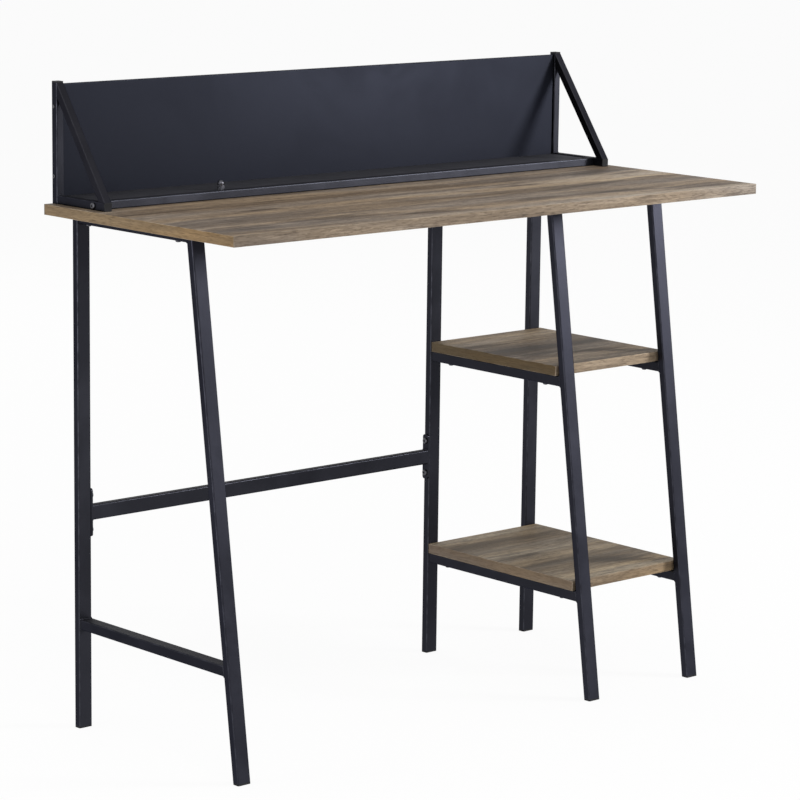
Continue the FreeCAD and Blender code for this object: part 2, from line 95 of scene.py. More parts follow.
lens = place_camera()
print("camera lens in mm:", round(lens.lens, 2))

# %% [markdown]
# ## Nodes by short calls
# Every finish here is built from shader nodes. A few small helpers keep the recipes readable: one feeds a
# socket with a link or a plain value, one does arithmetic, one stretches a position, one reads a noise. A
# mask, a fade or a share is 0 for none of an effect and 1 for all of it.

# %% Value nodes


def feed(tree, value, socket):
    """Link another socket into this one, or set a plain value on it."""
    if isinstance(value, bpy.types.NodeSocket):
        tree.links.new(value, socket)
    else:
        socket.default_value = value


def calc(tree, operation, first, second=0.0, third=0.0, clamp=False):
    """Result of one arithmetic step."""
    node = tree.nodes.new("ShaderNodeMath")
    node.operation = operation
    node.use_clamp = clamp
    for value, socket in zip((first, second, third), node.inputs):
        feed(tree, value, socket)
    return node.outputs[0]


def split(tree, vector):
    """X, Y and Z outputs of a vector."""
    node = tree.nodes.new("ShaderNodeSeparateXYZ")
    feed(tree, vector, node.inputs[0])
    return node.outputs


def stretch(tree, vector, factors):
    """Position multiplied along each axis."""
    node = tree.nodes.new("ShaderNodeVectorMath")
    node.operation = "MULTIPLY"
    feed(tree, vector, node.inputs[0])
    feed(tree, factors, node.inputs[1])
    return node.outputs[0]


def noise(tree, vector, scale=1.0, detail=3.0, roughness=0.5, distortion=0.0):
    """Noise value between 0 and 1 at a position."""
    node = tree.nodes.new("ShaderNodeTexNoise")
    feed(tree, vector, node.inputs["Vector"])
    feed(tree, scale, node.inputs["Scale"])
    node.inputs["Detail"].default_value = detail
    node.inputs["Roughness"].default_value = roughness
    node.inputs["Distortion"].default_value = distortion
    return node.outputs["Fac"]


def spread(tree, value, none_at, full_at):
    """Value mapped smoothly to 0 at one level and to 1 at another."""
    node = tree.nodes.new("ShaderNodeMapRange")
    node.interpolation_type = "SMOOTHSTEP"
    for given, name in ((value, "Value"), (none_at, "From Min"), (full_at, "From Max")):
        feed(tree, given, node.inputs[name])
    return node.outputs[0]


print("value nodes:", [helper.__name__ for helper in (feed, calc, split, stretch, noise, spread)])

# %% Colour nodes


def blend_colour(tree, factor, first, second, kind="MIX"):
    """Mix of two colours, which sit in the mix node's seventh and eighth sockets."""
    node = tree.nodes.new("ShaderNodeMix")
    node.data_type = "RGBA"
    node.blend_type = kind
    feed(tree, factor, node.inputs["Factor"])
    feed(tree, first, node.inputs[6])
    feed(tree, second, node.inputs[7])
    return node.outputs[2]


def ramp(tree, value, stops):
    """Colour that a value picks from a list of (place, colour) stops."""
    node = tree.nodes.new("ShaderNodeValToRGB")
    elements = node.color_ramp.elements
    while len(elements) < len(stops):
        elements.new(1.0)
    for element, (place, colour) in zip(elements, stops):
        element.position = place
        element.color = (*colour, 1.0)
    feed(tree, value, node.inputs[0])
    return node.outputs[0]


print("colour nodes:", [helper.__name__ for helper in (blend_colour, ramp)])

# %% Groups and materials


def new_group(name, inputs, outputs):
    """Empty shader node group with its input and output nodes."""
    group = bpy.data.node_groups.new(name, "ShaderNodeTree")
    for title, kind, value in inputs:
        socket = group.interface.new_socket(title, in_out="INPUT", socket_type=kind)
        if value is not None:
            socket.default_value = value
    for title, kind in outputs:
        group.interface.new_socket(title, in_out="OUTPUT", socket_type=kind)
    start = group.nodes.new("NodeGroupInput")
    end = group.nodes.new("NodeGroupOutput")
    return group, start.outputs, end.inputs


def use_group(tree, group, **values):
    """Group placed in a tree, its inputs named with underscores for spaces."""
    node = tree.nodes.new("ShaderNodeGroup")
    node.node_tree = group
    for name, value in values.items():
        feed(tree, value, node.inputs[name.replace("_", " ")])
    return node.outputs


def new_material(name):
    """Material with its tree, Principled shader and object-space position."""
    material = bpy.data.materials.new(name)
    material.use_nodes = True
    tree = material.node_tree
    shader = tree.nodes["Principled BSDF"]
    place = tree.nodes.new("ShaderNodeTexCoord").outputs["Object"]
    return material, tree, shader, place


def add_bump(tree, shader, height, distance):
    """Relief of a depth in metres fed to the shader's normal."""
    node = tree.nodes.new("ShaderNodeBump")
    node.inputs["Strength"].default_value = 1.0
    node.inputs["Distance"].default_value = distance
    feed(tree, height, node.inputs["Height"])
    feed(tree, node.outputs[0], shader.inputs["Normal"])


print("group nodes:", [helper.__name__ for helper in (new_group, use_group, new_material, add_bump)])

# %% [markdown]
# ## Wood look
# The boards are pressed board with a printed laminate of weathered oak: broad soft bands of tone, growth
# rings, long streaks, fine fibres, short pores and a few dark patches, all along the grain. Noise that
# changes five to twenty times faster across the grain than along it turns into streaks, so no picture is
# needed. The rings are contour lines of a slow noise, which closes them into the long arches of sawn oak.

# %% Parts of the grain
# Each part of the grain: noise waves in a metre along the grain and across it, then the noise's detail,
# roughness and distortion.
GRAIN_WAVES = {
    "wander": (1.3, 4.0, 2.0, 0.5, 0.0),
    "bands": (0.7, 13.0, 1.0, 0.5, 0.0),
    "rings": (1.7, 15.0, 1.0, 0.5, 0.0),
    "streaks": (5.5, 85.0, 4.0, 0.62, 0.4),
    "fibres": (26.0, 520.0, 3.0, 0.6, 0.0),
    "flecks": (11.0, 170.0, 3.0, 0.6, 0.0),
    "speckle": (75.0, 430.0, 2.0, 0.6, 0.0),
    "patches": (3.2, 27.0, 4.0, 0.62, 0.9),
    "pores": (70.0, 1500.0, 1.0, 0.5, 0.0),
    "warmth": (2.6, 24.0, 3.0, 0.5, 0.0),
}
# How much each part adds to the tone.
GRAIN_WEIGHTS = {
    "bands": 0.3, "rings": 0.12, "streaks": 0.75, "flecks": -0.28, "speckle": -0.19, "fibres": 0.44,
}
# Noise levels between which a part fades in.
GRAIN_FADES = {
    "bands": (0.3, 0.7), "flecks": (0.56, 0.72), "speckle": (0.5, 0.68), "patches": (0.56, 0.72),
    "pores": (0.56, 0.7),
}


def grain_noise(tree, place, part):
    """Noise of one part of the grain, faded in where it has its own levels."""
    along, across, detail, roughness, distortion = GRAIN_WAVES[part]
    waves = noise(tree, stretch(tree, place, (along, across, across)), 1.0, detail, roughness, distortion)
    if part in GRAIN_FADES:
        return spread(tree, waves, *GRAIN_FADES[part])
    return waves


print("parts of the grain:", sorted(GRAIN_WAVES))

# %% Wood grain group
BAND_WANDER = 0.05
RING_COUNT = 15.0
STREAK_LEVEL = 0.084


def build_grain():
    """Group that gives the printed grain's parts at a position, the grain along X."""
    group, given, results = new_group(
        "wood_grain",
        [("Vector", "NodeSocketVector", None), ("Seed", "NodeSocketFloat", 0.0)],
        [("Tone", "NodeSocketFloat"), ("Patches", "NodeSocketFloat"), ("Pores", "NodeSocketFloat"),
         ("Warmth", "NodeSocketFloat"), ("Wander", "NodeSocketFloat")],
    )
    seed_shift = group.nodes.new("ShaderNodeCombineXYZ")
    for socket in seed_shift.inputs:
        feed(group, given["Seed"], socket)
    adding = group.nodes.new("ShaderNodeVectorMath")
    feed(group, given["Vector"], adding.inputs[0])
    feed(group, seed_shift.outputs[0], adding.inputs[1])
    parts = split(group, adding.outputs[0])
    wander = grain_noise(group, adding.outputs[0], "wander")
    bent = group.nodes.new("ShaderNodeCombineXYZ")
    feed(group, parts["X"], bent.inputs["X"])
    feed(group, calc(group, "MULTIPLY_ADD", wander, BAND_WANDER, parts["Y"]), bent.inputs["Y"])
    feed(group, parts["Z"], bent.inputs["Z"])
    place = bent.outputs[0]
    waves = {part: grain_noise(group, place, part) for part in GRAIN_WAVES if part != "wander"}
    waves["rings"] = calc(group, "PINGPONG", calc(group, "MULTIPLY", waves["rings"], RING_COUNT), 0.5)
    waves["streaks"] = calc(group, "SUBTRACT", waves["streaks"], STREAK_LEVEL)
    tone = 0.0
    for part, weight in GRAIN_WEIGHTS.items():
        tone = calc(group, "MULTIPLY_ADD", waves[part], weight, tone)
    feed(group, tone, results["Tone"])
    feed(group, wander, results["Wander"])
    for title in ("Patches", "Pores", "Warmth"):
        feed(group, waves[title.lower()], results[title])
    return group


grain_group = build_grain()
print("grain group nodes:", len(grain_group.nodes))

# %% [markdown]
# A printed sheet repeats the same few boards, so the broad light bands and the dark knotty spots of one
# board are laid out one by one, as a print designer would, and only their rims are left to noise. A band is
# a stop on a ramp across the board. A spot is a soft oval with its long side along the grain.

# %% Soft spot group
SPOT_RAGGEDNESS = 6.5
SPOT_CLEAR_AT = 1.8
SPOT_FULL_AT = -0.7


def build_spot():
    """Group with a soft ragged oval at a centre, its long side along X or on a slope to it."""
    group, given, results = new_group(
        "soft_spot",
        [("Along", "NodeSocketFloat", 0.0), ("Across", "NodeSocketFloat", 0.0),
         ("Rim Noise", "NodeSocketFloat", 0.5), ("Centre X", "NodeSocketFloat", 0.0),
         ("Centre Y", "NodeSocketFloat", 0.0), ("Half Length", "NodeSocketFloat", 0.1),
         ("Half Width", "NodeSocketFloat", 0.01), ("Slope", "NodeSocketFloat", 0.0)],
        [("Mask", "NodeSocketFloat")],
    )
    along = calc(group, "SUBTRACT", given["Along"], given["Centre X"])
    drift = calc(group, "MULTIPLY_ADD", along, given["Slope"], given["Centre Y"])
    across = calc(group, "SUBTRACT", given["Across"], drift)
    far_along = calc(group, "DIVIDE", along, given["Half Length"])
    far_across = calc(group, "DIVIDE", across, given["Half Width"])
    distance = calc(group, "MULTIPLY", far_across, far_across)
    distance = calc(group, "MULTIPLY_ADD", far_along, far_along, distance)
    ragged = calc(group, "MULTIPLY", calc(group, "SUBTRACT", given["Rim Noise"], 0.5), SPOT_RAGGEDNESS)
    distance = calc(group, "ADD", distance, ragged)
    feed(group, spread(group, distance, SPOT_CLEAR_AT, SPOT_FULL_AT), results["Mask"])
    return group


spot_group = build_spot()
print("spot group nodes:", len(spot_group.nodes))

# %% [markdown]
# ## Wear and painted light along edges and upper faces
# Corners lose a little of their finish first, and their lighter colour is also a painted highlight for the
# light they catch. On straight stock the corner facets are the only ones that face between the axes, so the
# object-space normal finds them without any baking. A leaning leg is turned upright first, by its own lean.
# The same normal says which faces look up: they gather a little dust, and their colour also carries painted
# shade on the tube and rail tops and painted light on the tray floor.

# %% Edge mask group
FLAT_FACE_AT = 0.98
CORNER_FACE_AT = 0.9
WEAR_AND_HIGHLIGHT_PATCHES = (0.3, 0.7)
UPPER_FACE_SLOPES = (0.75, 0.97)
UPPER_FACE_LEAST = 0.55
UPPER_FACE_PATCHINESS = 0.5


def build_edge_mask():
    """Group with a mask of the corners for wear and a painted highlight, after undoing a lean about X, and
    one of upper faces for dust and painted top-face shade and light.
    """
    group, given, results = new_group(
        "edge_mask",
        [("Lean", "NodeSocketFloat", 0.0), ("Noise Scale", "NodeSocketFloat", 60.0)],
        [("Mask", "NodeSocketFloat"), ("Dust And Painted Top Tone", "NodeSocketFloat")],
    )
    texture = group.nodes.new("ShaderNodeTexCoord")
    upright = group.nodes.new("ShaderNodeVectorRotate")
    upright.rotation_type = "X_AXIS"
    feed(group, texture.outputs["Normal"], upright.inputs["Vector"])
    feed(group, given["Lean"], upright.inputs["Angle"])
    size = group.nodes.new("ShaderNodeVectorMath")
    size.operation = "ABSOLUTE"
    feed(group, upright.outputs[0], size.inputs[0])
    parts = split(group, size.outputs[0])
    largest = calc(group, "MAXIMUM", calc(group, "MAXIMUM", parts["X"], parts["Y"]), parts["Z"])
    corner = spread(group, largest, FLAT_FACE_AT, CORNER_FACE_AT)
    patches = noise(group, texture.outputs["Object"], given["Noise Scale"], 3.0)
    # Worn corners, whose lighter colour also serves as a painted highlight.
    feed(group, calc(group, "MULTIPLY", corner, spread(group, patches, *WEAR_AND_HIGHLIGHT_PATCHES)), results["Mask"])
    # Upper faces gather dust; this mask also carries painted top-face shade and light.
    facing_up = spread(group, split(group, texture.outputs["Normal"])["Z"], *UPPER_FACE_SLOPES)
    upper_patches = calc(group, "MULTIPLY_ADD", patches, UPPER_FACE_PATCHINESS, UPPER_FACE_LEAST, clamp=True)
    feed(group, calc(group, "MULTIPLY", facing_up, upper_patches), results["Dust And Painted Top Tone"])
    return group


edge_group = build_edge_mask()
print("edge mask group nodes:", len(edge_group.nodes))

# %% [markdown]
# ## Handling marks and coat texture
# Sprayed powder flows into a faint orange peel of a millimetre or two, and every smooth surface carries
# soft smudges and a little dust. Both are only noise at two scales.

# %% Coat texture group
SMUDGE_FADE = (0.35, 0.7)
SPECKLE_FADE = (0.62, 0.75)
SPECKLE_FINENESS = 3.0


def build_coat_texture():
    """Group that gives the peel height, a smudge mask and fine speckle."""
    group, given, results = new_group(
        "coat_texture",
        [("Vector", "NodeSocketVector", None), ("Peel Scale", "NodeSocketFloat", 700.0),
         ("Smudge Scale", "NodeSocketFloat", 7.0)],
        [("Peel", "NodeSocketFloat"), ("Smudge", "NodeSocketFloat"), ("Speckle", "NodeSocketFloat")],
    )
    feed(group, noise(group, given["Vector"], given["Peel Scale"], 2.0, 0.55), results["Peel"])
    smudge = noise(group, given["Vector"], given["Smudge Scale"], 5.0, 0.6, 0.5)
    feed(group, spread(group, smudge, *SMUDGE_FADE), results["Smudge"])
    speckle_scale = calc(group, "MULTIPLY", given["Peel Scale"], SPECKLE_FINENESS)
    speckle = noise(group, given["Vector"], speckle_scale, 1.0)
    feed(group, spread(group, speckle, *SPECKLE_FADE), results["Speckle"])
    return group


coat_group = build_coat_texture()
print("coat texture group nodes:", len(coat_group.nodes))

# %% [markdown]
# ## Laminate
# The printed figure makes the grain lighter or darker, and the tone picks a colour between dark and pale
# oak. Pores and patches are printed over it, a dye tints the whole sheet, and the corners are worn pale,
# which also paints a highlight along them.

# %% Printed figure
FIGURE_WANDER = 0.03
FIGURE_HALF_DEPTH = 0.25
SPOT_RIM_WAVES = (9.0, 170.0, 170.0)


def printed_figure(tree, place, wander, bands, spots):
    """Tone shift from a board's own bands, and the mask of its dark spots."""
    parts = split(tree, place)
    across = calc(tree, "MULTIPLY_ADD", calc(tree, "SUBTRACT", wander, 0.5), FIGURE_WANDER, parts["Y"])
    step = calc(tree, "MULTIPLY_ADD", across, 0.5 / FIGURE_HALF_DEPTH, 0.5, clamp=True)
    stops = [(0.5 + 0.5 * y / FIGURE_HALF_DEPTH, (0.5 + shift,) * 3) for y, shift in bands]
    shift = calc(tree, "SUBTRACT", ramp(tree, step, stops), 0.5)
    rim = noise(tree, stretch(tree, place, SPOT_RIM_WAVES), 1.0, 5.0, 0.7)
    mask = 0.0
    for x, y, half_length, half_width, slope in spots:
        spot = use_group(tree, spot_group, Along=parts["X"], Across=across, Rim_Noise=rim, Centre_X=x,
                         Centre_Y=y, Half_Length=half_length, Half_Width=half_width, Slope=slope)
        mask = calc(tree, "MAXIMUM", mask, spot["Mask"])
    return shift, mask


print("depth of a figure in metres:", 2 * FIGURE_HALF_DEPTH)

# %% Laminate material
MM = 0.001
WOOD_DARK = (0.065, 0.049, 0.038)
WOOD_PALE = (0.45, 0.375, 0.295)
# Tone and its colour.
WOOD_STOPS = (
    (0.22, WOOD_DARK), (0.42, (0.105, 0.08, 0.062)), (0.63, (0.195, 0.154, 0.12)),
    (0.78, (0.31, 0.25, 0.196)), (1.0, WOOD_PALE),
)
WOOD_WARM = (1.09, 1.0, 0.83, 1.0)
WOOD_COOL = (0.97, 0.98, 0.98, 1.0)
WOOD_PLAIN = (1.0, 1.0, 1.0, 1.0)
WOOD_MEAN_TONE = 0.62
WARMTH_FADE = (0.35, 0.65)
SPOT_TONE = -0.4
PATCH_SHARE = 0.4
# Share of the pale rim, partly wear and partly a painted highlight.
RIM_WEAR_AND_HIGHLIGHT_SHARE = 0.75
RIM_WEAR_AND_HIGHLIGHT_SCALE = 40.0
LAMINATE_ROUGHNESS = 0.6
PORE_ROUGHNESS = 0.12
PATCH_ROUGHNESS = 0.06
LAMINATE_SPECULAR = 0.15
LAMINATE_RELIEF = 0.12 * MM
PORE_DEPTH = -0.6
PATCH_DEPTH = -0.3


def make_laminate(name, turn=0.0, seed=0.0, evenness=0.0, dye=WOOD_PLAIN, pores=0.35, shade=0.0, painted_light_slope=0.0,
                  bands=(), spots=()):
    """Printed wood-look finish, its grain turned about Z, with painted light that makes it lighter along
    the grain by the given slope in each metre.
    """
    material, tree, shader, place = new_material(name)
    turning = tree.nodes.new("ShaderNodeVectorRotate")
    turning.rotation_type = "Z_AXIS"
    turning.inputs["Angle"].default_value = turn
    feed(tree, place, turning.inputs["Vector"])
    grain = use_group(tree, grain_group, Vector=turning.outputs[0], Seed=seed)
    tone = calc(tree, "MULTIPLY_ADD", grain["Tone"], 1 - evenness, evenness * WOOD_MEAN_TONE + shade)
    # Painted light: the tone rises along the grain by the given slope in each metre.
    if painted_light_slope:
        tone = calc(tree, "MULTIPLY_ADD", split(tree, turning.outputs[0])["X"], painted_light_slope, tone)
    if bands:
        shift, mask = printed_figure(tree, turning.outputs[0], grain["Wander"], bands, spots)
        tone = calc(tree, "ADD", tone, shift)
        tone = calc(tree, "MULTIPLY_ADD", mask, SPOT_TONE, tone)
    colour = ramp(tree, tone, WOOD_STOPS)
    patches = calc(tree, "MULTIPLY", grain["Patches"], PATCH_SHARE * (1 - evenness))
    colour = blend_colour(tree, patches, colour, (*WOOD_DARK, 1.0))
    colour = blend_colour(tree, calc(tree, "MULTIPLY", grain["Pores"], pores), colour, (*WOOD_DARK, 1.0))
    tint = blend_colour(tree, spread(tree, grain["Warmth"], *WARMTH_FADE), WOOD_COOL, WOOD_WARM)
    colour = blend_colour(tree, 1.0, blend_colour(tree, 1.0, colour, tint, "MULTIPLY"), dye, "MULTIPLY")
    # Pale worn corners, which also stand for a painted highlight along the rim.
    edge = use_group(tree, edge_group, Lean=0.0, Noise_Scale=RIM_WEAR_AND_HIGHLIGHT_SCALE)["Mask"]
    colour = blend_colour(tree, calc(tree, "MULTIPLY", edge, RIM_WEAR_AND_HIGHLIGHT_SHARE), colour, (*WOOD_PALE, 1.0))
    feed(tree, colour, shader.inputs["Base Color"])
    rough = calc(tree, "MULTIPLY_ADD", grain["Pores"], PORE_ROUGHNESS, LAMINATE_ROUGHNESS)
    rough = calc(tree, "MULTIPLY_ADD", grain["Patches"], PATCH_ROUGHNESS, rough)
    feed(tree, rough, shader.inputs["Roughness"])
    shader.inputs["Specular IOR Level"].default_value = LAMINATE_SPECULAR
    relief = calc(tree, "MULTIPLY", grain["Patches"], PATCH_DEPTH)
    relief = calc(tree, "MULTIPLY_ADD", grain["Pores"], PORE_DEPTH, relief)
    add_bump(tree, shader, relief, LAMINATE_RELIEF)
    return material


print("tone stops:", len(WOOD_STOPS))

# %% [markdown]
# ## Finishes of the boards
# The grain runs along X on the faces and the long edges. The bands on the board ends are cut from a roll,
# so their grain runs along Y: the position is turned a quarter before the grain is read. Each board has its
# own figure and dye, and its edge bands come from other rolls that only roughly match. The shelves and
# their bands are made darker than the desktop as painted shade, for the shade under the desktop.

# %% Board finishes
WOOD_TAN = (0.98, 0.86, 0.63, 1.0)
WOOD_GREY = (0.86, 0.885, 0.93, 1.0)
WOOD_OLIVE = (0.955, 0.9, 0.78, 1.0)
WOOD_BROWN = (0.93, 0.89, 0.66, 1.0)
WOOD_DRAB = (0.945, 0.975, 0.985, 1.0)
WOOD_SALLOW = (0.95, 0.975, 0.92, 1.0)
QUARTER_TURN = math.pi / 2
# Bands of a board: distance from the board's middle line in metres, and how much lighter it is there.
DESKTOP_BANDS = ((-0.21, 0.12), (-0.204, 0.08), (-0.192, 0.0), (-0.15, -0.05), (-0.105, -0.03),
                 (-0.06, 0.0), (-0.043, 0.14), (-0.028, 0.06), (0.0, 0.08), (0.022, 0.08), (0.034, -0.09),
                 (0.06, -0.07), (0.1, -0.04))
UPPER_BANDS = ((-0.075, 0.1), (-0.045, 0.1), (-0.02, 0.02), (0.0, -0.03), (0.02, 0.04), (0.06, -0.06),
               (0.1, -0.04), (0.125, -0.06), (0.15, 0.04), (0.19, 0.06))
LOWER_BANDS = ((-0.12, 0.14), (-0.09, 0.1), (-0.06, -0.02), (-0.02, -0.05), (0.01, 0.05), (0.04, -0.03),
               (0.06, 0.04), (0.12, 0.02), (0.142, -0.04), (0.16, 0.02), (0.19, 0.05))
# Spots of a board: middle along and across it, half length, half width in metres, and slope.
DESKTOP_SPOTS = (
    (-0.27, -0.145, 0.1, 0.016, -0.08), (-0.45, -0.15, 0.06, 0.02, 0.0),
    (-0.11, -0.178, 0.07, 0.011, -0.15), (0.1, -0.15, 0.06, 0.011, 0.0), (0.27, -0.153, 0.11, 0.009, 0.0),
    (0.43, -0.165, 0.09, 0.012, 0.0), (0.2, -0.018, 0.045, 0.008, 0.0), (-0.3, -0.018, 0.03, 0.004, 0.0),
    (0.45, -0.05, 0.06, 0.01, 0.0), (0.43, 0.055, 0.07, 0.03, 0.3), (0.29, -0.07, 0.09, 0.008, 0.15),
    (0.42, -0.178, 0.1, 0.012, 0.0), (0.44, 0.005, 0.05, 0.01, 0.1),
)
UPPER_SPOTS = (
    (0.25, 0.118, 0.05, 0.01, 0.0), (0.265, 0.06, 0.07, 0.028, 0.1), (0.36, 0.055, 0.07, 0.011, 0.0),
    (0.37, -0.005, 0.05, 0.011, -0.2), (0.415, -0.04, 0.05, 0.014, -0.7), (0.28, 0.02, 0.05, 0.008, 0.0),
)
LOWER_SPOTS = (
    (0.27, 0.142, 0.07, 0.011, 0.0), (0.385, 0.134, 0.055, 0.011, 0.0), (0.265, 0.042, 0.05, 0.009, 0.0),
    (0.27, -0.012, 0.06, 0.008, 0.0), (0.365, -0.05, 0.055, 0.018, -0.2), (0.42, -0.09, 0.04, 0.012, -0.7),
)


def make_long_band(name, dye, shade=0.0, painted_light_slope=0.0):
    """Edge band of a board's front and rear, its grain along X."""
    return make_laminate(name, seed=3.7, evenness=0.3, dye=dye, pores=0.5, shade=shade, painted_light_slope=painted_light_slope)


def make_end_band(name, dye, shade=0.0):
    """Edge band of a board's ends, its grain along Y."""
    return make_laminate(name, turn=QUARTER_TURN, seed=1.3, evenness=0.6, dye=dye, pores=0.6, shade=shade)


# Face, long band and end band of each board.
BOARD_FINISHES = {
    "desktop": (
        make_laminate("wood_look_desktop", shade=-0.02, bands=DESKTOP_BANDS, spots=DESKTOP_SPOTS),
        # The desktop's front band gets lighter towards the right as painted light from the right-hand lamp.
        make_long_band("wood_look_desktop_edge", WOOD_GREY, painted_light_slope=0.25),
        make_end_band("wood_look_desktop_end", WOOD_TAN, -0.02),
    ),
    # The shelves stand under the desktop: their lower shade values, on the faces and the bands, are painted
    # shade.
    "upper_shelf": (
        make_laminate("wood_look_upper", seed=2.1, dye=WOOD_DRAB, shade=-0.16, bands=UPPER_BANDS,
                      spots=UPPER_SPOTS),
        make_long_band("wood_look_upper_edge", WOOD_GREY, -0.07),
        make_end_band("wood_look_upper_end", WOOD_BROWN, -0.21),
    ),
    "lower_shelf": (
        make_laminate("wood_look_lower", seed=4.4, dye=WOOD_SALLOW, shade=-0.19, bands=LOWER_BANDS,
                      spots=LOWER_SPOTS),
        make_long_band("wood_look_lower_edge", WOOD_OLIVE),
        make_end_band("wood_look_lower_end", WOOD_PLAIN, -0.07),
    ),
}
for board, board_finishes in BOARD_FINISHES.items():
    print(board, [material.name for material in board_finishes])

# %% [markdown]
# ## Dark coat, plastic and plated steel
# The tubes and sheets share one blue-black powder coat with fine metal flake in it: bluish where a face
# mirrors a lamp, nearly black elsewhere. The front rail has a lighter copy of it, which is painted light
# for the lamp that falls on its front. A plain paint model turns pale at a low angle, so the coat is a very
# dark metal with a dim glancing tint. The caps are moulded plastic, duller and finer in texture. The
# fasteners are blackened steel, and the nuts are zinc or dark nickel plate.

# %% Powder coat
TUBE_COLOUR = (0.0215, 0.022, 0.0275)
LEG_COLOUR = (0.0205, 0.021, 0.0275)
# The front rail's colour is lighter than the other tubes' as painted light, for the lamp on its front.
RAIL_COLOUR_WITH_PAINTED_LIGHT = (0.033, 0.034, 0.042)
BRACE_COLOUR = (0.021, 0.021, 0.0255)
SHEET_COLOUR = (0.0158, 0.017, 0.0232)
# Colour of upper faces: some dust, plus painted shade on the tube and rail tops and painted light on the
# tray floor.
COAT_DUST_AND_TOP_SHADE = (0.019, 0.019, 0.023)
RAIL_DUST_AND_TOP_SHADE = (0.014, 0.014, 0.016)
SHEET_DUST_AND_TOP_LIGHT = (0.06, 0.06, 0.067)
GLANCING_SHEEN = (0.3, 0.3, 0.34, 1.0)
# Gain of the lighter corners, partly wear and partly a painted highlight.
WORN_AND_HIGHLIGHT_GAIN = 2.6
SMUDGED_GAIN = 1.5
SMUDGE_SHARE = 0.6
SPECKLE_SHARE = 0.3
DUST_AND_PAINTED_TOP_TONE_SHARE = 0.85
SMUDGE_ROUGHNESS = 0.12
DUST_ROUGHNESS = 0.15
EDGE_ROUGHNESS = -0.08
DUST_METAL_LOSS = -0.7
COAT_SPECULAR = 0.1


def scaled(colour, gain):
    """Colour as a socket takes it, with all its parts multiplied."""
    return (*(value * gain for value in colour), 1.0)


def make_coat(name, colour, lean=0.0, roughness=0.35, peel=0.06, worn_and_highlight=0.8, dust_and_painted_top_tone=COAT_DUST_AND_TOP_SHADE):
    """Satin metallic powder coat with peel and smudges, corners lighter by wear and a painted highlight,
    and upper faces toned by dust and painted shade and light.
    """
    material, tree, shader, place = new_material(name)
    coat = use_group(tree, coat_group, Vector=place)
    wear_and_light_masks = use_group(tree, edge_group, Lean=lean)
    lighter = scaled(colour, WORN_AND_HIGHLIGHT_GAIN)
    shade = scaled(colour, 1.0)
    # Smudges, worn corners with a painted highlight, speckle, and upper faces with dust and painted
    # top-face tone.
    for mask, share, over in (
        (coat["Smudge"], SMUDGE_SHARE, scaled(colour, SMUDGED_GAIN)),
        (wear_and_light_masks["Mask"], worn_and_highlight, lighter),
        (coat["Speckle"], SPECKLE_SHARE, lighter),
        (wear_and_light_masks["Dust And Painted Top Tone"], DUST_AND_PAINTED_TOP_TONE_SHARE, scaled(dust_and_painted_top_tone, 1.0)),
    ):
        shade = blend_colour(tree, calc(tree, "MULTIPLY", mask, share), shade, over)
    feed(tree, shade, shader.inputs["Base Color"])
    rough = roughness
    for mask, change in (
        (coat["Smudge"], SMUDGE_ROUGHNESS), (wear_and_light_masks["Dust And Painted Top Tone"], DUST_ROUGHNESS), (wear_and_light_masks["Mask"], EDGE_ROUGHNESS),
    ):
        rough = calc(tree, "MULTIPLY_ADD", mask, change, rough)
    feed(tree, rough, shader.inputs["Roughness"])
    feed(tree, calc(tree, "MULTIPLY_ADD", wear_and_light_masks["Dust And Painted Top Tone"], DUST_METAL_LOSS, 1.0), shader.inputs["Metallic"])
    shader.inputs["Specular IOR Level"].default_value = COAT_SPECULAR
    shader.inputs["Specular Tint"].default_value = GLANCING_SHEEN
    add_bump(tree, shader, coat["Peel"], peel * MM)
    return material


print("worn coat:", [round(value, 3) for value in scaled(TUBE_COLOUR, WORN_AND_HIGHLIGHT_GAIN)])

# %% Plastic
PLASTIC_COLOUR = (0.011, 0.011, 0.0125)
SCUFFED_GAIN = 3.0
SCUFF_SHARE = 0.35
PLASTIC_ROUGHNESS = 0.55
SCUFF_ROUGHNESS = 0.1
PLASTIC_SPECULAR = 0.12
PLASTIC_RELIEF = 0.03 * MM


def make_plastic():
    """Moulded black plastic with a fine spark-eroded texture and scuffs."""
    material, tree, shader, place = new_material("black_plastic")
    coat = use_group(tree, coat_group, Vector=place, Peel_Scale=2600.0, Smudge_Scale=60.0)
    share = calc(tree, "MULTIPLY", coat["Smudge"], SCUFF_SHARE)
    shade = blend_colour(tree, share, scaled(PLASTIC_COLOUR, 1.0), scaled(PLASTIC_COLOUR, SCUFFED_GAIN))
    feed(tree, shade, shader.inputs["Base Color"])
    rough = calc(tree, "MULTIPLY_ADD", coat["Smudge"], SCUFF_ROUGHNESS, PLASTIC_ROUGHNESS)
    feed(tree, rough, shader.inputs["Roughness"])
    shader.inputs["Specular IOR Level"].default_value = PLASTIC_SPECULAR
    add_bump(tree, shader, coat["Peel"], PLASTIC_RELIEF)
    return material


print("scuffed plastic:", [round(value, 3) for value in scaled(PLASTIC_COLOUR, SCUFFED_GAIN)])

# %% Plated steel
FASTENER_COLOUR = (0.09, 0.09, 0.1)
ZINC_COLOUR = (0.5, 0.5, 0.48)
BRIGHT_COLOUR = (0.1, 0.1, 0.115)
STAINED_GAIN = 0.55
STAIN_ROUGHNESS = 0.15
SCRATCH_SCALE = 900.0
SCRATCH_WAVES = (SCRATCH_SCALE, SCRATCH_SCALE, 60.0)
SCRATCH_DEPTH = 0.02 * MM


